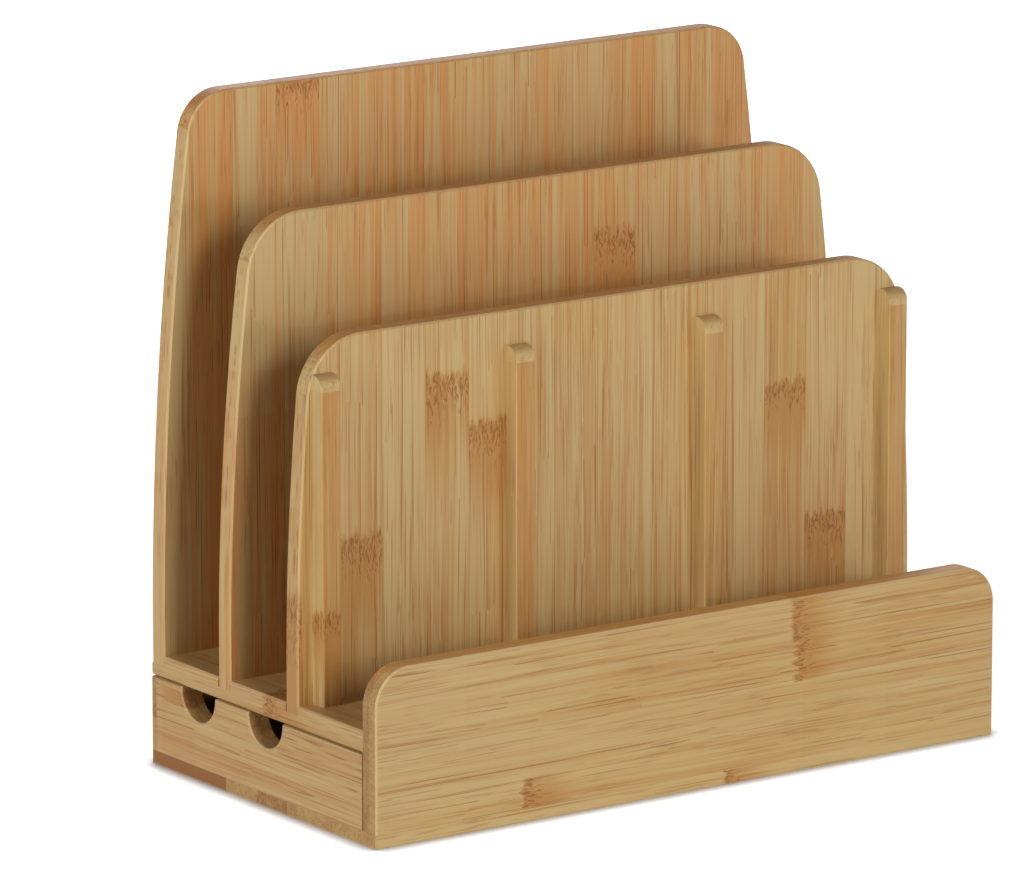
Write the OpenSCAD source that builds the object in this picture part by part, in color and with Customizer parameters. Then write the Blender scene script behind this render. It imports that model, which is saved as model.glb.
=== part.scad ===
// Bamboo charging station organizer: a low open box for the charger and its leads, and a lift-off top
// whose shelf carries three upright dividers and, on the foremost one, four ribs that part the phones.
// X runs along the width, Y from the front lip (-) to the rear (+) and Z up.
// The origin is the centre of the underside. Sizes are in millimetres.

/* [Box] */
// Width of the box, over the outer faces of its side panels
box_w = 250; // [200:1:300]
// Depth of the box, from the front panel's face to the rear wall's face
box_d = 132; // [120:1:170]
// Height of the side panels' top edges above the surface that the box stands on
box_h = 29.8; // [26:0.1:50]
// Thickness of the bottom board
bottom_t = 4.8; // [3:0.1:8]
// Thickness of the side panels
side_t = 8; // [5:0.1:12]
// Thickness of the rear wall
rear_t = 3.5; // [2.5:0.1:8]
// Radius of the box's upright rear corners
box_corner_r = 1.5; // [0.8:0.1:2.4]

/* [Front panel] */
// Thickness of the front panel
front_t = 8; // [5:0.1:12]
// Height of the front panel's top edge, which stands up past the shelf as a lip
front_h = 59; // [50:0.5:90]
// Radius of the front panel's two top corners
front_corner_r = 13; // [6:0.5:20]

/* [Cable notches] */
// Radius of the half-round notches in the side panels and the rear wall
notch_r = 10; // [5:0.5:12]
// How far each side notch stands forward of the middle of the device slot it serves
notch_forward = 5; // [0:0.5:8]

/* [Shelf] */
// Thickness of the shelf board
shelf_t = 7.4; // [6:0.1:12]
// Height of the shelf board above the side panels that it rests on
seat_gap = 0.3; // [0.1:0.1:1]
// Gap between the shelf's front edge and the front panel
shelf_gap = 0.5; // [0.3:0.1:2]
// How far the shelf's ends stand in from the side panels' outer faces
end_inset = 0.8; // [0:0.1:2]
// Depth of the housings that the dividers are glued into
housing_depth = 3.2; // [2:0.1:4.5]
// Length of the cable slot in the floor of each phone bay
cable_slot_l = 26; // [16:1:40]
// Width of the cable slots
cable_slot_w = 12; // [6:0.5:16]

/* [Dividers] */
// Thickness of the dividers
divider_t = 7; // [5:0.1:9]
// Clear width of the slots between the dividers, which hold tablets
device_slot_w = 32.6; // [20:0.1:36]
// Height of the back divider above the shelf
back_divider_h = 187.5; // [165:0.5:260]
// Height of the middle divider above the shelf
middle_divider_h = 153.5; // [135:0.5:220]
// Height of the front divider above the shelf
front_divider_h = 120.5; // [115:0.5:180]
// Height above the shelf at which the dividers' ends begin to bow inwards
bow_start_h = 8; // [2:0.5:30]
// Radius of the long curve along which the ends of the middle and front dividers bow
bow_r = 1000; // [800:10:2000]
// Radius of the long curve along which the ends of the back divider bow
back_bow_r = 1250; // [1000:10:3000]
// Radius of the top corners of the middle and front dividers
corner_r = 21; // [8:0.5:24]
// Radius of the top corners of the back divider
back_corner_r = 15.5; // [8:0.5:30]

/* [Phone ribs] */
// Width of each rib
rib_w = 7.5; // [5:0.1:12]
// How far each rib stands out from the front divider
rib_d = 6; // [4:0.1:9]
// Height of the ribs above the shelf
rib_h = 109; // [60:0.5:110]
// Radius of the round at the top front edge of each rib
rib_round_r = 5; // [2:0.1:5.5]
// How far the outer ribs stand in from the dividers' upright ends
rib_inset = 5.9; // [5.8:0.1:14]

/* [Locating blocks] */
// Width and depth of the blocks that keep the top in place on the box
block_w = 12; // [6:0.5:13]
// Height of the locating blocks below the shelf
block_h = 8; // [4:0.5:14]
// Gap between a locating block and the walls beside it
block_gap = 0.5; // [0.3:0.1:1.5]

/* [Eased edges] */
// Width of the flat that takes the sharp arris off the boards' exposed edges
ease = 0.6; // [0.2:0.1:0.8]
// Width of the lead-in flat at the foot of the locating blocks
block_ease = 1.2; // [0.4:0.1:2]

/* [Hidden] */
$fn = 96;

// Reach of a cutting tool past the face that it cuts
past = 1;
// How far the circle of a round corner, or of a long bow, stands proud of the edges that it joins, so that
// they cross cleanly
proud = 0.02;
bow_proud = 0.05;
// Facets in a full turn of the corners' and the bows' circles, which keep them close to the true curve
arc_facets = 1440;

front_y = -box_d / 2;
rear_y = box_d / 2;
wall_y = front_y + front_t;
inner_rear_y = rear_y - rear_t;
inner_x = box_w / 2 - side_t;

shelf_z = box_h + seat_gap;
shelf_top_z = shelf_z + shelf_t;
housing_z = shelf_top_z - housing_depth;
shelf_front_y = wall_y + shelf_gap;
end_x = box_w / 2 - end_inset;

// Front faces of the three dividers, worked forward from the rear
divider_pitch = divider_t + device_slot_w;
back_y = rear_y - divider_t;
middle_y = back_y - divider_pitch;
front_divider_y = middle_y - divider_pitch;

// Centres of the side notches, one for each device slot
notch_ys = [for (y = [middle_y, front_divider_y]) y + divider_t + device_slot_w / 2 - notch_forward];

// Left edges of the four ribs
rib_span = 2 * (end_x - rib_inset) - rib_w;
rib_pitch = rib_span / 3;
rib_xs = [for (i = [0:3]) -end_x + rib_inset + i * rib_pitch];
phone_bay_xs = [for (i = [0:2]) rib_xs[i] + (rib_w + rib_pitch) / 2];
cable_slot_y = (shelf_front_y + front_divider_y) / 2;

// Bamboo colours: pale boards, warmer boards and the dark glued strips of the bottom
pale = [0.78, 0.64, 0.43];
warm = [0.74, 0.58, 0.37];
dark = [0.58, 0.40, 0.24];

// A flat outline in X and Z made into a board of thickness t, whose front face is at y
module upright_board(y, t)
    translate([0, y + t, 0])
        rotate([90, 0, 0])
            linear_extrude(t)
                children();

// Section of what eases an edge: it takes w off both faces that meet there and runs past them
module arris_section(w)
    polygon([[-past, -past], [w + past, -past], [-past, w + past]]);

// Eases an edge that runs along X from the origin for l, where the board lies towards +Y and +Z
module edge_cut(l, w)
    rotate([90, 0, 90])
        linear_extrude(l)
            arris_section(w);

// Eases the straight edge from p to q, both in X and Z, on the face at y. The board lies to the left
// of the way from p to q, and its thickness runs towards +Y if face is 1 and towards -Y if it is -1.
module straight_arris(p, q, y, face) {
    run = q - p;
    translate([p.x, y, p.y])
        rotate([0, -atan2(run.y, run.x), 0])
            mirror([0, (1 - face) / 2, 0])
                translate([-past, 0, 0])
                    edge_cut(norm(run) + 2 * past, ease);
}

// Eases the round edge of radius r about the centre c, from angle a to angle b, in the same way
module round_arris(c, r, a, b, y, face)
    translate([c.x, y, c.y])
        rotate([90, 0, 0])
            rotate([0, 0, a])
                rotate_extrude(angle = b - a, $fn = arc_facets)
                    translate([r, 0])
                        rotate(face > 0 ? 180 : 90)
                            arris_section(ease);

// A shouldered board has upright ends up to its knee, ends that bow inwards above it along one long curve
// of radius bow (or stay upright if bow is 0), and round top corners of radius r. half is half its width,
// and foot and top are the heights of its bottom and top.
function bow_centre(half, knee, bow) = [half - bow + bow_proud, knee];
function corner_turn(knee, top, bow, r) =
    bow > 0 ? asin((top - r + proud - knee) / (bow - r + proud)) : 0;
function corner_centre(half, knee, top, bow, r) =
    let (turn = corner_turn(knee, top, bow, r))
    bow > 0
        ? bow_centre(half, knee, bow) + (bow - r + proud) * [cos(turn), sin(turn)]
        : [half - r + proud, top - r + proud];

// What is cut away to round the corner about the centre c, from the angle turn up to the board's top
module corner_cut(c, r, turn)
    difference() {
        polygon([c, c + (r + past) * [cos(turn), sin(turn)], c + 2 * r * [1, 1], c + [0, r + past]]);
        translate(c)
            circle(r, $fn = arc_facets);
    }

// What is cut away to bow the board's right end
module bow_cut(half, knee, top, bow)
    difference() {
        translate([0, knee])
            square([half + past, top + past - knee]);
        translate(bow_centre(half, knee, bow))
            circle(bow, $fn = arc_facets);
    }

module shouldered_outline(half, foot, knee, top, bow, r)
    difference() {
        translate([-half, foot])
            square([2 * half, top - foot]);
        for (side = [0, 1])
            mirror([side, 0]) {
                corner_cut(corner_centre(half, knee, top, bow, r), r, corner_turn(knee, top, bow, r));
                if (bow > 0)
                    bow_cut(half, knee, top, bow);
            }
    }

// Cutters that ease the ends and the top of a shouldered board on the face at y
module shouldered_arrises(half, foot, knee, top, bow, r, y, face) {
    c = corner_centre(half, knee, top, bow, r);
    upright_top = bow > 0 ? knee + sqrt(2 * bow * bow_proud) : top;
    straight_arris([c.x + r, top], [-c.x - r, top], y, face);
    for (side = [0, 1])
        mirror([side, 0, 0]) {
            straight_arris([half, foot], [half, upright_top], y, face);
            round_arris(c, r, corner_turn(knee, top, bow, r), 90, y, face);
            if (bow > 0)
                round_arris(bow_centre(half, knee, bow), bow, 0, asin((top - knee) / bow), y, face);
        }
}

// A shouldered board of thickness t with its front face at y, eased on both faces
module shouldered_board(y, t, half, foot, knee, top, bow, r)
    difference() {
        upright_board(y, t)
            shouldered_outline(half, foot, knee, top, bow, r);
        shouldered_arrises(half, foot, knee, top, bow, r, y, 1);
        shouldered_arrises(half, foot, knee, top, bow, r, y + t, -1);
    }

// A half-round notch cut down into a board's top edge, along X. The board's outer face is at x and its
// thickness t lies towards -X. The outer rim is eased.
module notch(x, y, t)
    translate([x, y, box_h])
        rotate([0, -90, 0]) {
            translate([0, 0, -past])
                cylinder(r = notch_r, h = t + 2 * past);
            translate([0, 0, -past])
                cylinder(r1 = notch_r + ease + past, r2 = notch_r - past, h = ease + 2 * past);
        }

module bottom_board()
    color(dark)
        difference() {
            translate([-box_w / 2, front_y, 0])
                cube([box_w, box_d, bottom_t]);
            for (side = [0, 1]) {
                mirror([side, 0, 0]) {
                    rear_corner_cut(bottom_t);
                    translate([box_w / 2, front_y - past, 0])
                        rotate([0, 0, 90])
                            edge_cut(box_d + 2 * past, ease);
                    translate([box_w / 2, front_y, -past])
                        rotate([0, -90, 0])
                            edge_cut(bottom_t + 2 * past, ease);
                }
                mirror([0, side, 0])
                    translate([-box_w / 2 - past, front_y, 0])
                        edge_cut(box_w + 2 * past, ease);
            }
        }

// What is cut away to round the upright corner at the right rear, up to height h
module rear_corner_cut(h)
    translate([box_w / 2 - box_corner_r, rear_y - box_corner_r, -past])
        difference() {
            cube([box_corner_r + past, box_corner_r + past, h + 2 * past]);
            cylinder(r = box_corner_r, h = h + 2 * past);
        }

// Side panel on the right; the left one is its mirror image
module side_panel()
    difference() {
        translate([inner_x, wall_y, bottom_t])
            cube([side_t, inner_rear_y - wall_y, box_h - bottom_t]);
        for (y = notch_ys)
            notch(box_w / 2, y, side_t);
    }

module left_side_panel()
    color(pale)
        mirror([1, 0, 0])
            side_panel();

module right_side_panel()
    color(pale)
        side_panel();

module rear_wall()
    color(warm)
        difference() {
            translate([-box_w / 2, inner_rear_y, bottom_t])
                cube([box_w, rear_t, box_h - bottom_t]);
            rotate([0, 0, 90])
                notch(rear_y, 0, rear_t);
            for (side = [0, 1])
                mirror([side, 0, 0])
                    rear_corner_cut(box_h);
        }

// The front panel's ends don't bow, so its knee can be at any height: here it is at the shelf's top
module front_panel()
    color(pale)
        shouldered_board(front_y, front_t, box_w / 2, bottom_t, shelf_top_z, front_h, 0, front_corner_r);

// Cable slot with round ends through the shelf, centred on x
module cable_slot(x)
    translate([x, cable_slot_y, shelf_z - past]) {
        straight = cable_slot_l - cable_slot_w;
        translate([-straight / 2, -cable_slot_w / 2, 0])
            cube([straight, cable_slot_w, shelf_t + 2 * past]);
        for (side = [-1, 1])
            translate([side * straight / 2, 0, 0])
                cylinder(d = cable_slot_w, h = shelf_t + 2 * past);
    }

module shelf_board()
    color(warm)
        difference() {
            translate([-end_x, shelf_front_y, shelf_z])
                cube([2 * end_x, rear_y - shelf_front_y, shelf_t]);
            for (y = [middle_y, front_divider_y])
                translate([-end_x - past, y, housing_z])
                    cube([2 * (end_x + past), divider_t, housing_depth + past]);
            translate([-end_x - past, back_y, housing_z])
                cube([2 * (end_x + past), divider_t + past, housing_depth + past]);
            for (x = phone_bay_xs)
                cable_slot(x);
            for (side = [0, 1])
                mirror([side, 0, 0])
                    shelf_end_arrises();
        }

// Cutters that ease the two long edges of the shelf's end, on the right
module shelf_end_arrises()
    translate([end_x, shelf_front_y - past, shelf_z + shelf_t / 2])
        for (face = [0, 1])
            mirror([0, 0, face])
                translate([0, 0, -shelf_t / 2])
                    rotate([0, 0, 90])
                        edge_cut(rear_y - shelf_front_y + 2 * past, ease);

// A divider whose front face is at y and whose top stands h above the shelf
module divider(y, h, bow, r)
    shouldered_board(y, divider_t, end_x, housing_z, shelf_top_z + bow_start_h, shelf_top_z + h, bow, r);

module back_divider()
    color(warm)
        divider(back_y, back_divider_h, back_bow_r, back_corner_r);

module middle_divider()
    color(pale)
        divider(middle_y, middle_divider_h, bow_r, corner_r);

module front_divider()
    color(pale)
        divider(front_divider_y, front_divider_h, bow_r, corner_r);

// Rib number i, glued to the front divider's face and standing on the shelf
module phone_rib(i)
    color(warm)
        translate([rib_xs[i] + rib_w / 2, front_divider_y - rib_d, shelf_top_z])
            difference() {
                translate([-rib_w / 2, 0, 0])
                    cube([rib_w, rib_d, rib_h]);
                translate([-rib_w / 2 - past, rib_round_r, rib_h - rib_round_r])
                    rib_top_cut();
                for (side = [0, 1])
                    mirror([side, 0, 0])
                        translate([rib_w / 2, 0, -past])
                            rotate([0, -90, 0])
                                edge_cut(rib_h + 2 * past, ease);
            }

// What is cut away to round a rib's top front edge, with the round's axis on X
module rib_top_cut()
    difference() {
        translate([0, -rib_round_r - past, 0])
            cube([rib_w + 2 * past, rib_round_r + past, rib_round_r + past]);
        rotate([0, 90, 0])
            cylinder(r = rib_round_r, h = rib_w + 2 * past);
    }

// Locating block below the shelf, in the corner on the given side (-1 left, 1 right) and end
// (-1 front, 1 rear) of the box, with a lead-in flat round its foot
module locating_block(side, end) {
    mid_x = side * (inner_x - block_gap - block_w / 2);
    mid_y = end < 0 ? wall_y + block_gap + block_w / 2 : inner_rear_y - block_gap - block_w / 2;
    color(warm)
        translate([mid_x, mid_y, shelf_z - block_h])
            difference() {
                translate([-block_w / 2, -block_w / 2, 0])
                    cube([block_w, block_w, block_h]);
                for (turn = [0:90:270])
                    rotate([0, 0, turn])
                        translate([-block_w / 2 - past, -block_w / 2, 0])
                            edge_cut(block_w + 2 * past, block_ease);
            }
}

bottom_board();
left_side_panel();
right_side_panel();
rear_wall();
front_panel();
shelf_board();
back_divider();
middle_divider();
front_divider();
phone_rib(0);  // phone_rib_1
phone_rib(1);  // phone_rib_2
phone_rib(2);  // phone_rib_3
phone_rib(3);  // phone_rib_4
locating_block(-1, -1);  // locating_block_front_left
locating_block(1, -1);  // locating_block_front_right
locating_block(-1, 1);  // locating_block_rear_left
locating_block(1, 1);  // locating_block_rear_right
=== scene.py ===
# %% [markdown]
# # A bamboo charging organizer, dressed in Blender
# The real object is glued up from bamboo boards: a low box, and a lift-off top whose shelf carries three
# upright dividers and four small ribs. Its construction is already modelled in CAD, so this lesson is about
# looks: the finish of every board, the light and the camera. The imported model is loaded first. It is a fixed
# frame: no board is moved, resized or given another mesh here.

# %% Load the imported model
import math

import bmesh
import bpy
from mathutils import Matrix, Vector


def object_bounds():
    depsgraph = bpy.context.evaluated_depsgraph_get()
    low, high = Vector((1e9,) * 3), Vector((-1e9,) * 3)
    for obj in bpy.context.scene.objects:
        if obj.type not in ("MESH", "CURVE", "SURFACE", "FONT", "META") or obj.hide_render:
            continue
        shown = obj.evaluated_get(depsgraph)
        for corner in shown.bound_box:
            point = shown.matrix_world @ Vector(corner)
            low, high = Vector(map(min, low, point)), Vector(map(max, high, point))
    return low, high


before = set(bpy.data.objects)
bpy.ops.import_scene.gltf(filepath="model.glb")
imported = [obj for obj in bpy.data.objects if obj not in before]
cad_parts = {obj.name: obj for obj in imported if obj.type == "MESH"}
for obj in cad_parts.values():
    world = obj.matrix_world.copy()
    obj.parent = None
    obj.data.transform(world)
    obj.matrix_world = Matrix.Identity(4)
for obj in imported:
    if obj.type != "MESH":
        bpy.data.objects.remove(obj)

cad_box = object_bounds()
cad_low, cad_high = cad_box
print("boards:", ", ".join(sorted(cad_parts)))
print("box in mm:", [round(1000 * (high - low), 1) for low, high in zip(cad_low, cad_high)])

# %% [markdown]
# ## The camera
# A product photograph like this is taken from far away with a long lens, which keeps upright edges nearly
# parallel. A camera can be placed by hand, but it is surer to work out where it stood from the corners of the
# box, whose real places are known. That gives a point to aim at, two angles, a distance and a lens.

# %% Place the camera
AIM = Vector((-0.0163, 0.0129, 0.1050))
LEFT_OF_FRONT = 35.20
ABOVE_LEVEL = 13.05
DISTANCE = 2.960
LENS = 314.8
SENSOR = 36.0


def direction(left_of_front, above_level):
    """The way from the object towards something that many degrees left of its front and above level."""
    turn = math.radians(left_of_front)
    climb = math.radians(above_level)
    return Vector((-math.sin(turn) * math.cos(climb), -math.cos(turn) * math.cos(climb), math.sin(climb)))


def look_from(thing, toward, distance):
    """Puts a camera or a lamp at a distance from the aim and turns it to face the aim."""
    thing.location = AIM + toward * distance
    thing.rotation_mode = "QUATERNION"
    thing.rotation_quaternion = (-toward).to_track_quat("-Z", "Y")
    bpy.context.scene.collection.objects.link(thing)


camera_data = bpy.data.cameras.new("camera")
camera_data.lens = LENS
camera_data.sensor_width = SENSOR
camera_data.clip_end = 50
camera = bpy.data.objects.new("camera", camera_data)
look_from(camera, direction(LEFT_OF_FRONT, ABOVE_LEVEL), DISTANCE)
bpy.context.scene.camera = camera
print("camera at", [round(value, 3) for value in camera.location])

# %% [markdown]
# ## Node helpers
# Every finish below is a network of shader nodes. Written out by hand, each node takes three or four lines,
# which hides the idea. A few small helpers keep a line of script close to a line of thought.

# %% Add nodes and feed their inputs
def feed(tree, socket, value):
    """Gives an input a link, if the value is another node's output, or else a fixed value."""
    if isinstance(value, bpy.types.NodeSocket):
        tree.links.new(value, socket)
    else:
        socket.default_value = value


def add(tree, kind, inputs=None, **settings):
    """Adds a node of one kind, with its settings and with what its named inputs receive."""
    node = tree.nodes.new(kind)
    for name, value in settings.items():
        setattr(node, name, value)
    for name, value in (inputs or {}).items():
        feed(tree, node.inputs[name], value)
    return node


def calc(tree, operation, *values):
    """One sum on numbers, such as MULTIPLY or ABSOLUTE."""
    node = add(tree, "ShaderNodeMath", operation=operation)
    for socket, value in zip(node.inputs, values):
        feed(tree, socket, value)
    return node.outputs["Value"]


def vector_calc(tree, operation, *values):
    """One sum on vectors, such as ADD or MULTIPLY."""
    node = add(tree, "ShaderNodeVectorMath", operation=operation)
    for socket, value in zip(node.inputs, values):
        feed(tree, socket, value)
    return node.outputs["Vector"]


def total(tree, *values):
    """Adds up any number of values."""
    result = values[0]
    for value in values[1:]:
        result = calc(tree, "ADD", result, value)
    return result


def swing(tree, value, strength):
    """A soft random value of 0 to 1, centred on 0 and made stronger or weaker."""
    return calc(tree, "MULTIPLY", calc(tree, "SUBTRACT", value, 0.5), strength)


def ramp(tree, value, low, high, to_low=0.0, to_high=1.0):
    """A soft step: to_low where the value is under low, to_high where it is over high."""
    return add(tree, "ShaderNodeMapRange", {
        "Value": value, "From Min": low, "From Max": high, "To Min": to_low, "To Max": to_high,
    }, interpolation_type="SMOOTHSTEP").outputs["Result"]


def blend(tree, share, first, second):
    """Mixes two colours: share 0 gives the first and 1 the second."""
    node = add(tree, "ShaderNodeMix", {"Factor": share}, data_type="RGBA")
    feed(tree, node.inputs[6], first)
    feed(tree, node.inputs[7], second)
    return node.outputs[2]


def noise(tree, place, stretch, detail=1.0, roughness=0.5, output="Fac"):
    """Soft random values. The stretch is how many blotches there are to a millimetre, each way."""
    return add(tree, "ShaderNodeTexNoise", {
        "Vector": vector_calc(tree, "MULTIPLY", place, stretch),
        "Scale": 1.0, "Detail": detail, "Roughness": roughness,
    }).outputs[output]


def parts(tree, vector):
    """The three numbers of a vector."""
    return add(tree, "ShaderNodeSeparateXYZ", {"Vector": vector}).outputs


def joined(tree, x=0.0, y=0.0, z=0.0):
    """A vector made of three numbers."""
    return add(tree, "ShaderNodeCombineXYZ", {"X": x, "Y": y, "Z": z}).outputs["Vector"]


def new_group(name, inputs, outputs):
    """A shader node group. Inputs are name: (socket type, starting value); outputs are name: socket type."""
    tree = bpy.data.node_groups.new(name, "ShaderNodeTree")
    for label, (kind, start) in inputs.items():
        socket = tree.interface.new_socket(label, in_out="INPUT", socket_type=kind)
        if start is not None:
            socket.default_value = start
    for label, kind in outputs.items():
        tree.interface.new_socket(label, in_out="OUTPUT", socket_type=kind)
    return tree, tree.nodes.new("NodeGroupInput").outputs, tree.nodes.new("NodeGroupOutput").inputs


def place_group(tree, group, inputs):
    """Puts a group into a material or another group, and gives back its outputs."""
    return add(tree, "ShaderNodeGroup", inputs, node_tree=group).outputs


def srgb(red, green, blue):
    """A colour as a picture editor names it, 0 to 255, in the linear values that Blender computes with."""
    def linear(value):
        share = value / 255
        return share / 12.92 if share <= 0.04045 else ((share + 0.055) / 1.055) ** 2.4
    return (linear(red), linear(green), linear(blue), 1.0)


NOISE_MIDDLE = (0.5, 0.5, 0.5)
FLOAT = "NodeSocketFloat"
COLOR = "NodeSocketColor"
VECTOR = "NodeSocketVector"
print("helpers ready")

# %% [markdown]
# ## Strips
# A bamboo board is glued from strips about 17 mm wide, and each strip comes from another cane. The pattern is
# worked out in three dimensions, in millimetres of the board itself: X along the grain, Y across the strips
# and Z through the thickness. An image wrapped round each board would give its edges and cut ends the wrong
# pattern. The first group finds the strip, draws its glue joint, and moves every strip to another part of the
# endless pattern, so that no two strips look alike.

# %% The strips group
STRIP_WIDTH = 17.1
JOINT_CORE = 0.05
JOINT_EDGE = 0.22
PATTERN_JUMP = (400.0, 0.0, 90.0)
SEED_JUMP = (311.0, 0.0, 57.0)

strips_group, given, result = new_group(
    "bamboo strips",
    {
        "Board": (VECTOR, None), "Seed": (FLOAT, 0.0), "Strip Width": (FLOAT, STRIP_WIDTH),
        "Strip Shift": (FLOAT, 0.0),
    },
    {"Place": VECTOR, "Chance": FLOAT, "Joint": FLOAT},
)
tree = strips_group
across = calc(tree, "SUBTRACT", parts(tree, given["Board"])["Y"], given["Strip Shift"])
strips = calc(tree, "DIVIDE", across, given["Strip Width"])
key = joined(tree, calc(tree, "FLOOR", strips), given["Seed"])
chance = add(tree, "ShaderNodeTexWhiteNoise", {"Vector": key}, noise_dimensions="2D").outputs
within = calc(tree, "FRACT", strips)
nearest = calc(tree, "MINIMUM", within, calc(tree, "SUBTRACT", 1.0, within))
joint_distance = calc(tree, "MULTIPLY", nearest, given["Strip Width"])
seed_jump = vector_calc(tree, "MULTIPLY", joined(tree, given["Seed"], 0.0, given["Seed"]), SEED_JUMP)
strip_jump = vector_calc(tree, "MULTIPLY", chance["Color"], PATTERN_JUMP)
moved = vector_calc(tree, "ADD", given["Board"], vector_calc(tree, "ADD", seed_jump, strip_jump))
feed(tree, result["Place"], moved)
feed(tree, result["Chance"], chance["Value"])
feed(tree, result["Joint"], ramp(tree, joint_distance, JOINT_CORE, JOINT_EDGE, 1.0, 0.0))
print("strips group:", len(tree.nodes), "nodes")

# %% [markdown]
# ## Fibres
# Bamboo has no growth rings. Its fibres are bundles about half a millimetre thick, which run side by side for
# the whole length of a strip and turn darker or paler now and then. A stretched noise alone gives lens-shaped
# smears. So the board is first ruled into narrow lanes, one for each bundle, and every lane gets its own slow
# noise along the grain. Soft streaks, short reddish dashes and broad patches are then stretched noises.

# %% The fibres group
LANE_WIDTH = 0.48
LANE_JUMP = (140.0, 70.0, 70.0)
WANDER_REACH = (0.0, 2.6, 2.6)

fibres_group, given, result = new_group(
    "bamboo fibres",
    {"Place": (VECTOR, None)},
    {"Streaks": FLOAT, "Comb": FLOAT, "Lines": FLOAT, "Dashes": FLOAT, "Patches": FLOAT},
)
tree = fibres_group
wander = noise(tree, given["Place"], (0.010, 0.040, 0.040), output="Color")
wander = vector_calc(tree, "SUBTRACT", wander, NOISE_MIDDLE)
wander = vector_calc(tree, "MULTIPLY", wander, WANDER_REACH)
place = vector_calc(tree, "ADD", given["Place"], wander)
lane_place = parts(tree, vector_calc(tree, "DIVIDE", place, (1.0, LANE_WIDTH, LANE_WIDTH)))
lane = joined(tree, calc(tree, "FLOOR", lane_place["Y"]), calc(tree, "FLOOR", lane_place["Z"]))
lane_chance = add(tree, "ShaderNodeTexWhiteNoise", {"Vector": lane}, noise_dimensions="2D").outputs["Color"]
lane_jump = vector_calc(tree, "MULTIPLY", lane_chance, LANE_JUMP)
lane_run = vector_calc(tree, "ADD", joined(tree, lane_place["X"]), lane_jump)
lane_tone = noise(tree, lane_run, (0.013, 1.0, 1.0), detail=2.0)
from_middle = calc(tree, "ABSOLUTE", calc(tree, "SUBTRACT", calc(tree, "FRACT", lane_place["Y"]), 0.5))
lane_middle = ramp(tree, from_middle, 0.15, 0.5, 1.0, 0.0)
gathered = ramp(tree, noise(tree, place, (0.012, 0.20, 0.20)), 0.35, 0.60)
lines = calc(tree, "MULTIPLY", ramp(tree, lane_tone, 0.54, 0.68), lane_middle)
lines = calc(tree, "MULTIPLY", lines, gathered)
comb = noise(tree, place, (0.010, 0.75, 0.75), detail=2.0, roughness=0.6)
comb = calc(tree, "MULTIPLY_ADD", calc(tree, "SUBTRACT", lane_tone, 0.5), 1.0, comb)
streaks = noise(tree, place, (0.0055, 0.22, 0.22), detail=2.0)
patches = noise(tree, place, (0.016, 0.085, 0.085))
specks = ramp(tree, noise(tree, place, (0.060, 1.35, 1.35)), 0.57, 0.70)
dashes = calc(tree, "MULTIPLY", specks, ramp(tree, patches, 0.38, 0.58))
feed(tree, result["Streaks"], streaks)
feed(tree, result["Comb"], comb)
feed(tree, result["Lines"], lines)
feed(tree, result["Dashes"], dashes)
feed(tree, result["Patches"], patches)
print("fibres group:", len(tree.nodes), "nodes")

# %% [markdown]
# ## Knuckles
# A bamboo cane has a knuckle every 20 cm or so, where its fibres swirl round a cross wall. Sawn and planed, a
# knuckle is a short band of dark, wavy, broken strokes across one strip. It begins sharply, thins out along
# the grain, and leaves the strip a little darker on that side. It stops dead at the strip's glue joints. It
# could be painted, but a group that knows its place on the board puts one wherever the real board has one,
# and it stays a few plain numbers.

# %% The knuckle group
RAGGED_REACH = 9.0

knuckle_group, given, result = new_group(
    "bamboo knuckle",
    {
        "Board": (VECTOR, None), "Along": (FLOAT, 0.0), "Across": (FLOAT, 0.0), "Half Width": (FLOAT, 8.5),
        "Length": (FLOAT, 9.0),
    },
    {"Strokes": FLOAT, "Shade": FLOAT},
)
tree = knuckle_group
spot = parts(tree, given["Board"])
ragged = swing(tree, noise(tree, given["Board"], (0.03, 0.55, 0.55), detail=2.0), RAGGED_REACH)
along = total(tree, spot["X"], calc(tree, "MULTIPLY", given["Along"], -1.0), ragged)
past_start = calc(tree, "DIVIDE", along, given["Length"])
across = calc(tree, "ABSOLUTE", calc(tree, "SUBTRACT", spot["Y"], given["Across"]))
inside = calc(tree, "LESS_THAN", across, given["Half Width"])
start = ramp(tree, past_start, -0.25, 0.10)
strokes = calc(tree, "MULTIPLY", start, ramp(tree, past_start, 0.15, 1.6, 1.0, 0.0))
shade = calc(tree, "MULTIPLY", start, ramp(tree, past_start, 0.2, 4.0, 1.0, 0.0))
feed(tree, result["Strokes"], calc(tree, "MULTIPLY", strokes, inside))
feed(tree, result["Shade"], calc(tree, "MULTIPLY", shade, inside))
print("knuckle group:", len(tree.nodes), "nodes")

# %% [markdown]
# ## The whole board
# Now the marks are laid over the wood, broadest first, as they lie in the real thing: the strip's own tone,
# streaks, the comb, hair lines, dashes, knuckle strokes and glue joints. Cut ends show the same fibres head
# on, as dots, and their open pores drink the oil and darken. An eased edge is paler: a painted highlight,
# partly the paler fibre of the sanding. Faces that look up are redder and a little darker: painted shade, as
# little light falls from above, warmed like light bounced off the boards beside them. Each mark also presses
# a hair's breadth into the surface and is a little duller than the wood round it.

# %% The bamboo group
DASH = srgb(150, 92, 44)
STROKE = srgb(130, 70, 24)
CUT_PALE = srgb(187, 151, 95)
CUT_WARM = srgb(150, 100, 53)
CUT_DOT = srgb(124, 78, 40)
# Painted shade and warm bounce light on faces that look up
TOP_SHADE_AND_BOUNCE = srgb(216, 140, 64)
# Painted highlight on eased edges, partly the paler fibre of the sanding
ARRIS_HIGHLIGHT = srgb(222, 194, 146)
SWIRL_REACH = (5.0, 3.2, 3.2)
PATCH_STRENGTH = 0.6
STROKE_THINNING = 0.20
STROKE_STRENGTH = 0.66
JOINT_STRENGTH = 0.30
DOT_STRENGTH = 0.5
PLAIN_ROUGHNESS = 0.46
MARK_ROUGHNESS = 0.10
CUT_ROUGHNESS = 0.16

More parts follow.
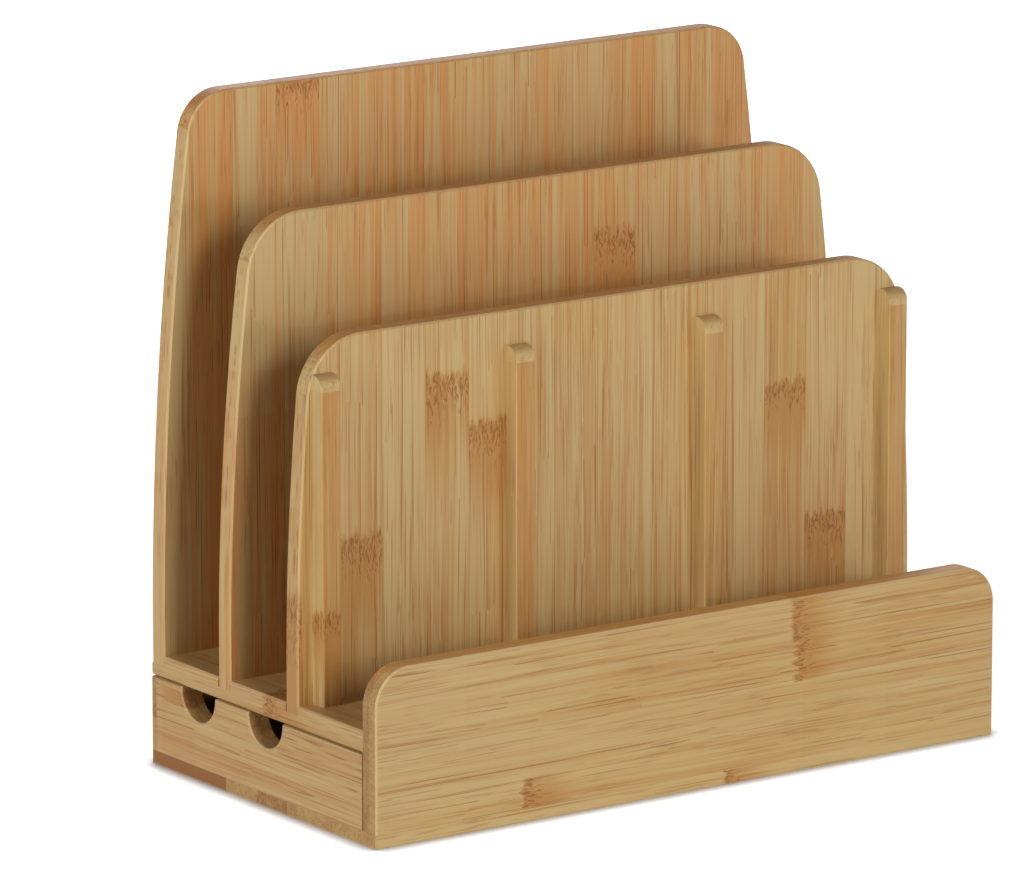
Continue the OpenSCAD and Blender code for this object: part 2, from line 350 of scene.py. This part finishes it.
bamboo_group, given, result = new_group(
    "bamboo board",
    {
        "Board": (VECTOR, None),
        "Seed": (FLOAT, 0.0),
        "Strip Width": (FLOAT, STRIP_WIDTH),
        "Strip Shift": (FLOAT, 0.0),
        "Strip Contrast": (FLOAT, 0.45),
        "Warmth": (FLOAT, 0.35),
        "Streak Strength": (FLOAT, 1.2),
        "Comb Strength": (FLOAT, 1.2),
        "Line Strength": (FLOAT, 0.45),
        "Dash Strength": (FLOAT, 0.35),
        "Strokes": (FLOAT, 0.0),
        "Shade": (FLOAT, 0.0),
        "End Grain": (FLOAT, 0.0),
        "Arris": (FLOAT, 0.0),
        "Arris Highlight Strength": (FLOAT, 0.3),
        "Top": (FLOAT, 0.0),
        "Top Shade Strength": (FLOAT, 0.0),
        "Pale": (COLOR, srgb(201, 171, 115)),
        "Warm": (COLOR, srgb(185, 132, 68)),
        "Fibre": (COLOR, srgb(146, 90, 38)),
    },
    {"Color": COLOR, "Roughness": FLOAT, "Height": FLOAT},
)
tree = bamboo_group
strip = place_group(tree, strips_group, {
    name: given[name] for name in ("Board", "Seed", "Strip Width", "Strip Shift")
})
swirl = noise(tree, strip["Place"], (0.17, 0.36, 0.36), output="Color")
swirl = vector_calc(tree, "MULTIPLY", vector_calc(tree, "SUBTRACT", swirl, NOISE_MIDDLE), SWIRL_REACH)
swirl = vector_calc(tree, "MULTIPLY", swirl, joined(tree, *[given["Strokes"]] * 3))
place = vector_calc(tree, "ADD", strip["Place"], swirl)
fibres = place_group(tree, fibres_group, {"Place": place})

# Tone of the plain wood, from 0 where it is pale to 1 where it is warm
tone = total(
    tree,
    given["Warmth"],
    given["Shade"],
    swing(tree, strip["Chance"], given["Strip Contrast"]),
    swing(tree, fibres["Streaks"], given["Streak Strength"]),
    swing(tree, fibres["Comb"], given["Comb Strength"]),
    swing(tree, fibres["Patches"], PATCH_STRENGTH),
)
wood = blend(tree, tone, given["Pale"], given["Warm"])
wood = blend(tree, calc(tree, "MULTIPLY", fibres["Lines"], given["Line Strength"]), wood, given["Fibre"])
wood = blend(tree, calc(tree, "MULTIPLY", fibres["Dashes"], given["Dash Strength"]), wood, DASH)

# Knuckle strokes: the denser the knuckle, the more of the noise passes as a stroke
thinning = calc(tree, "MULTIPLY", calc(tree, "SUBTRACT", 1.0, given["Strokes"]), STROKE_THINNING)
stroke_noise = calc(tree, "SUBTRACT", noise(tree, place, (0.36, 1.90, 1.90), detail=2.0), thinning)
strokes = calc(tree, "MULTIPLY", ramp(tree, stroke_noise, 0.44, 0.60), ramp(tree, given["Strokes"], 0.0, 0.1))
wood = blend(tree, calc(tree, "MULTIPLY", strokes, STROKE_STRENGTH), wood, STROKE)
wood = blend(tree, calc(tree, "MULTIPLY", strip["Joint"], JOINT_STRENGTH), wood, given["Fibre"])

# Cut ends
cells = add(tree, "ShaderNodeTexVoronoi", {
    "Vector": vector_calc(tree, "MULTIPLY", strip["Place"], (0.0, 1.1, 1.1)),
    "Scale": 1.0, "Randomness": 0.85,
})
dots = ramp(tree, cells.outputs["Distance"], 0.14, 0.40, 1.0, 0.0)
cut_end = blend(tree, tone, CUT_PALE, CUT_WARM)
cut_end = blend(tree, calc(tree, "MULTIPLY", dots, DOT_STRENGTH), cut_end, CUT_DOT)
wood = blend(tree, given["End Grain"], wood, cut_end)
# Eased edges: painted highlight, partly the paler fibre of the sanding
wood = blend(tree, calc(tree, "MULTIPLY", given["Arris"], given["Arris Highlight Strength"]), wood, ARRIS_HIGHLIGHT)
# Faces that look up: painted shade, warmed like light bounced off the boards beside them
wood = blend(tree, calc(tree, "MULTIPLY", given["Top"], given["Top Shade Strength"]), wood, TOP_SHADE_AND_BOUNCE)
feed(tree, result["Color"], wood)

# How deep the marks lie, and how dull they are
long_marks = total(
    tree,
    calc(tree, "MULTIPLY", fibres["Lines"], 0.5),
    calc(tree, "MULTIPLY", fibres["Dashes"], 0.7),
    calc(tree, "MULTIPLY", fibres["Comb"], 0.4),
    strokes,
    strip["Joint"],
)
marks = add(tree, "ShaderNodeMix", {"Factor": given["End Grain"], "A": long_marks, "B": dots})
marks = marks.outputs["Result"]
feed(tree, result["Height"], calc(tree, "MULTIPLY", marks, -1.0))
dulled = calc(tree, "MULTIPLY_ADD", marks, MARK_ROUGHNESS, PLAIN_ROUGHNESS)
dulled = calc(tree, "MULTIPLY_ADD", given["End Grain"], CUT_ROUGHNESS, dulled)
feed(tree, result["Roughness"], dulled)
print("bamboo group:", len(tree.nodes), "nodes")

# %% [markdown]
# ## From a board to its own millimetres
# The CAD places every board in the same frame, in metres, but the grain runs another way in each: upright in
# the dividers, sideways in the front panel, front to back in the sides and the shelf. One function picks the
# axes for a board. It also finds the faces that are cut across the grain, the narrow slanting flats that
# ease the edges, and the faces that look up, from the way each face looks.

# %% Board coordinates, cut ends and eased edges
MM = 1000.0
AXES = "XYZ"


def board_coordinates(tree, along, across):
    """Millimetres along the grain, across the strips and through the board, and where each face looks."""
    depth = (set(AXES) - {along, across}).pop()
    source = tree.nodes.new("ShaderNodeTexCoord")
    metres = parts(tree, source.outputs["Object"])
    board = joined(tree, metres[along], metres[across], metres[depth])
    board = vector_calc(tree, "MULTIPLY", board, (MM, MM, MM))
    looks = parts(tree, source.outputs["Normal"])
    facing = parts(tree, vector_calc(tree, "ABSOLUTE", source.outputs["Normal"]))
    cut = ramp(tree, facing[along], 0.55, 0.85)
    squarest = calc(tree, "MAXIMUM", facing["X"], calc(tree, "MAXIMUM", facing["Y"], facing["Z"]))
    slant = ramp(tree, squarest, 0.72, 0.80, 1.0, 0.0)
    slant = calc(tree, "MULTIPLY", slant, ramp(tree, facing[depth], 0.3, 0.5))
    return board, cut, slant, ramp(tree, looks["Z"], 0.6, 0.9)


print("a board's own axes are", AXES)

# %% [markdown]
# ## The finish of one board
# A board's finish is the bamboo group with that board's own grain, seed and tone. Two short lists place what
# stands out on the board: its knuckles, and bands that are darker or paler than their neighbours. Most bands
# are strips or layers of the wood; a few are painted shade and painted light, marked where they stand.

# %% The finish of one board
USUAL_WARMTH = 0.35
KNUCKLE_WARMTH = 0.75
RELIEF_STRENGTH = 0.25
RELIEF_DEPTH = 0.0002
SHINE = 0.35


def bamboo(name, along, across, seed, knuckles=(), bands=(), **values):
    """The finish of one board, in millimetres of the frame.

    A knuckle is (along, across, half width, length): it starts at along, and its length is negative if it
    thins out downwards or backwards. A band is (axis, from, to, change of warmth).
    """
    material = bpy.data.materials.new("bamboo_" + name)
    material.use_nodes = True
    tree = material.node_tree
    shader = tree.nodes["Principled BSDF"]
    board, cut, slant, top = board_coordinates(tree, along, across)
    strokes = 0.0
    shade = 0.0
    for start, middle, half_width, length in knuckles:
        knuckle = place_group(tree, knuckle_group, {
            "Board": board, "Along": start, "Across": middle, "Half Width": half_width, "Length": length,
        })
        strokes = calc(tree, "MAXIMUM", strokes, knuckle["Strokes"])
        shade = calc(tree, "MAXIMUM", shade, knuckle["Shade"])
    warmth = values.pop("Warmth", USUAL_WARMTH)
    frame_place = parts(tree, tree.nodes["Texture Coordinate"].outputs["Object"])
    for axis, low, high, change in bands:
        beyond = calc(tree, "GREATER_THAN", frame_place[axis], low / MM)
        short = calc(tree, "LESS_THAN", frame_place[axis], high / MM)
        warmth = calc(tree, "MULTIPLY_ADD", calc(tree, "MULTIPLY", beyond, short), change, warmth)
    wood = place_group(tree, bamboo_group, {
        "Board": board, "Seed": seed, "Warmth": warmth, "End Grain": cut, "Arris": slant, "Top": top,
        "Strokes": strokes, "Shade": calc(tree, "MULTIPLY", shade, KNUCKLE_WARMTH), **values,
    })
    feed(tree, shader.inputs["Base Color"], wood["Color"])
    feed(tree, shader.inputs["Roughness"], wood["Roughness"])
    relief = add(tree, "ShaderNodeBump", {
        "Height": wood["Height"], "Strength": RELIEF_STRENGTH, "Distance": RELIEF_DEPTH,
    })
    feed(tree, shader.inputs["Normal"], relief.outputs["Normal"])
    shader.inputs["Specular IOR Level"].default_value = SHINE
    return material


UPRIGHT = {"along": "Z", "across": "X"}
SIDEWAYS = {"along": "X", "across": "Z"}
FRONT_TO_BACK = {"along": "Y", "across": "Z"}
REDDER = srgb(203, 141, 76)
FINISHES = {
    "front_panel": {
        **SIDEWAYS, "seed": 1.0, "Strip Shift": 14.2, "Strip Contrast": 0.12, "Warmth": 0.32,
        "Line Strength": 0.75, "Streak Strength": 1.0, "Comb Strength": 0.9, "Arris Highlight Strength": 0.5,
        "Top Shade Strength": 0.35,
        "knuckles": ((41.0, 52.0, 8.0, 6.0), (43.0, 38.0, 7.5, 5.0), (-67.0, 8.5, 6.0, 6.0)),
        "bands": (
            ("Y", -62.0, -58.0, 0.35), ("X", -130.0, -90.0, -0.05), ("X", -130.0, -65.0, -0.05),
            ("X", -130.0, -40.0, -0.04), ("X", 45.0, 130.0, 0.05), ("X", 80.0, 130.0, 0.05),
        ),
    },
    "left_side_panel": {
        **FRONT_TO_BACK, "seed": 2.0, "Strip Shift": 12.0, "Warmth": 0.36, "Line Strength": 0.8,
        "Dash Strength": 0.9, "bands": (("Y", 39.0, 59.0, 0.10),),
        "knuckles": ((46.0, 25.5, 2.6, 4.0),),
    },
    "right_side_panel": {**FRONT_TO_BACK, "seed": 3.0, "Strip Shift": 15.0, "Dash Strength": 0.7},
    "rear_wall": {**SIDEWAYS, "seed": 4.0, "Strip Shift": 16.0, "Line Strength": 0.6},
    "bottom_board": {
        "along": "X", "across": "Y", "seed": 5.0, "Strip Shift": 3.8, "Strip Contrast": 0.3, "Warmth": 0.22,
        "bands": (("Y", 21.0, 66.0, 1.2), ("Y", -14.7, 2.8, 0.5)),
        "knuckles": ((14.0, -62.0, 5.0, 6.0),),
    },
    "shelf_board": {
        "along": "Y", "across": "X", "seed": 6.0, "Strip Shift": 2.0, "Warmth": 0.32,
        "knuckles": ((-1.0, -120.0, 6.0, -9.0),),
    },
    "back_divider": {
        **UPRIGHT, "seed": 7.0, "Strip Shift": -78.5, "Warmth": 0.62, "Streak Strength": 1.8,
        "Comb Strength": 1.5, "Line Strength": 0.7, "Warm": REDDER, "Top Shade Strength": 0.60,
        "knuckles": ((225.0, -70.0, 8.5, -8.0),), "bands": (("X", -125.0, -112.7, -0.30),),
    },
    "middle_divider": {
        **UPRIGHT, "seed": 8.0, "Strip Shift": 21.5, "Warmth": 0.50, "Streak Strength": 1.6,
        "Comb Strength": 1.5, "Line Strength": 0.7, "Warm": REDDER, "Top Shade Strength": 0.45,
        "knuckles": ((169.0, 30.0, 8.5, -12.0),),
        "bands": (
            # The Z bands are painted shade: warmer and darker low in the slot behind the front divider
            ("Z", 30.0, 125.0, 0.25), ("Z", 30.0, 140.0, 0.20), ("Z", 30.0, 152.0, 0.15),
            ("X", -130.0, -68.0, -0.22), ("X", -34.0, -17.0, 0.15),
            ("X", 55.0, 72.0, -0.22), ("X", -125.0, -115.3, -0.18),
        ),
    },
    "front_divider": {
        **UPRIGHT, "seed": 9.0, "Strip Shift": -90.9, "Strip Contrast": 0.2, "Comb Strength": 1.5,
        "Line Strength": 0.7, "Top Shade Strength": 0.45,
        "knuckles": (
            (90.0, -99.4, 8.5, -12.0), (139.0, -65.3, 8.5, -12.0), (121.5, -48.2, 8.5, -11.0),
            (119.0, 71.5, 8.5, -8.0), (72.0, 88.6, 8.5, -9.0), (72.0, -123.6, 1.2, -20.0),
        ),
        "bands": (
            # The first band is painted shade: a warmer back face, which looks into the dark slot behind
            ("Y", -13.6, -13.0, 0.5), ("X", -125.0, -122.6, 0.18), ("X", -125.0, -119.5, 0.17),
            ("X", -108.0, -90.9, 0.12), ("X", -90.9, -73.8, -0.22), ("X", -56.7, -39.6, -0.08),
            ("X", 63.0, 80.1, 0.12), ("X", 97.2, 114.3, -0.25),
        ),
    },
}
# Painted shade: the Y band darkens each rib's front face against its sides
for number in (1, 2, 3, 4):
    FINISHES[f"phone_rib_{number}"] = {
        **UPRIGHT, "seed": 10.0 + number, "Strip Shift": 200.0, "Strip Width": 400.0, "Warmth": 0.10,
        "Arris Highlight Strength": 0.0, "bands": (("Y", -26.4, -25.9, 0.65), ("Z", 141.5, 147.0, -0.60)),
    }
# The lower warmth of ribs 2 to 4 is painted light on their left sides, which the divider shades
FINISHES["phone_rib_1"]["Warmth"] = 0.30
FINISHES["phone_rib_1"]["knuckles"] = ((68.0, -114.5, 6.0, -8.0),)
for corner in ("front_left", "front_right", "rear_left", "rear_right"):
    FINISHES["locating_block_" + corner] = {
        **UPRIGHT, "seed": 15.0, "Strip Shift": 200.0, "Strip Width": 400.0,
    }

for name, finish in FINISHES.items():
    board_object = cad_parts[name]
    board_object.data.materials.clear()
    board_object.data.materials.append(bamboo(name, **finish))
print("finished", len(FINISHES), "boards")

# %% [markdown]
# ## The floor
# The ground in the picture is a plain white sweep. The floor is a real surface that takes the lamps' shadows
# and throws light back up on the boards. For the camera it glows too, so that it reads as clean white without
# more light on the wood. Where the box meets it there is a tight, soft dark line about a centimetre wide,
# which the glow would wash out. So the glow fades wherever something stands close, which the ambient
# occlusion node measures.

# %% Floor
FLOOR_RADIUS = 12.0
FLOOR_GREY = (0.77, 0.80, 0.84, 1.0)
FLOOR_GLOW = 0.78
FLOOR_BOUNCE = 0.20
CONTACT_REACH = 0.008
NEAR_FLOOR = 0.20
FAR_FLOOR = 0.50

floor_mesh = bmesh.new()
bmesh.ops.create_circle(floor_mesh, cap_ends=True, segments=64, radius=FLOOR_RADIUS)
floor_data = bpy.data.meshes.new("floor")
floor_mesh.to_mesh(floor_data)
floor_mesh.free()
floor = bpy.data.objects.new("floor", floor_data)
bpy.context.scene.collection.objects.link(floor)


def seen_directly(tree):
    """1 for what the camera sees, also in a reflection or through glass, and 0 for light on its way."""
    path = add(tree, "ShaderNodeLightPath").outputs
    mirrored = calc(tree, "MAXIMUM", path["Is Glossy Ray"], path["Is Transmission Ray"])
    return calc(tree, "MAXIMUM", path["Is Camera Ray"], mirrored)


floor_material = bpy.data.materials.new("white_floor")
floor_material.use_nodes = True
tree = floor_material.node_tree
shader = tree.nodes["Principled BSDF"]
shader.inputs["Base Color"].default_value = FLOOR_GREY
shader.inputs["Roughness"].default_value = 1.0
shader.inputs["Specular IOR Level"].default_value = 0.0
shader.inputs["Emission Color"].default_value = (1.0, 1.0, 1.0, 1.0)
open_sky = add(tree, "ShaderNodeAmbientOcclusion", {"Distance": CONTACT_REACH}, samples=16).outputs["AO"]
far = add(tree, "ShaderNodeVectorMath", {
    "Vector": add(tree, "ShaderNodeTexCoord").outputs["Object"],
}, operation="LENGTH").outputs["Value"]
glow = ramp(tree, far, NEAR_FLOOR, FAR_FLOOR, FLOOR_GLOW, 1.0)
glow = calc(tree, "MULTIPLY", glow, ramp(tree, open_sky, 0.45, 1.0))
feed(tree, shader.inputs["Emission Strength"], ramp(tree, seen_directly(tree), 0.0, 1.0, FLOOR_BOUNCE, glow))
floor_data.materials.append(floor_material)
print("floor radius", FLOOR_RADIUS, "m")

# %% [markdown]
# ## The light
# The picture's shading tells where its lamps stood. Upright faces to the front and to the left are equally
# bright, and level faces only half as bright, so the lamps are low. The slots between the dividers are dark,
# so one lamp stands in front, with a weaker one low to its right, and a third to the left, where it grazes
# the dividers' faces. Almost nothing comes from above. A fourth lamp behind the object is there for whoever
# looks at its back. With these lamps the rear board's top edge comes out paler than in the picture. The world
# is white to the camera and dark to the boards.

# %% World and lamps
world = bpy.data.worlds.new("studio")
bpy.context.scene.world = world
world.use_nodes = True
tree = world.node_tree
background = tree.nodes["Background"]
background.inputs["Color"].default_value = (1.0, 1.0, 1.0, 1.0)
feed(tree, background.inputs["Strength"], seen_directly(tree))
LAMP_DISTANCE = 1.6


def soft_box(name, left_of_front, above_level, width, height, watts):
    """A rectangular studio lamp, turned to the object."""
    lamp = bpy.data.lights.new(name, "AREA")
    lamp.shape = "RECTANGLE"
    lamp.size = width
    lamp.size_y = height
    lamp.energy = watts
    look_from(bpy.data.objects.new(name, lamp), direction(left_of_front, above_level), LAMP_DISTANCE)


soft_box("front_box", left_of_front=8, above_level=20, width=0.35, height=0.55, watts=10.1)
soft_box("low_fill", left_of_front=-25, above_level=6, width=0.35, height=0.30, watts=4.2)
soft_box("left_box", left_of_front=84, above_level=16, width=0.35, height=0.80, watts=11.8)
soft_box("rear_box", left_of_front=205, above_level=22, width=0.60, height=0.50, watts=8.0)
bpy.context.scene.view_settings.view_transform = "Standard"
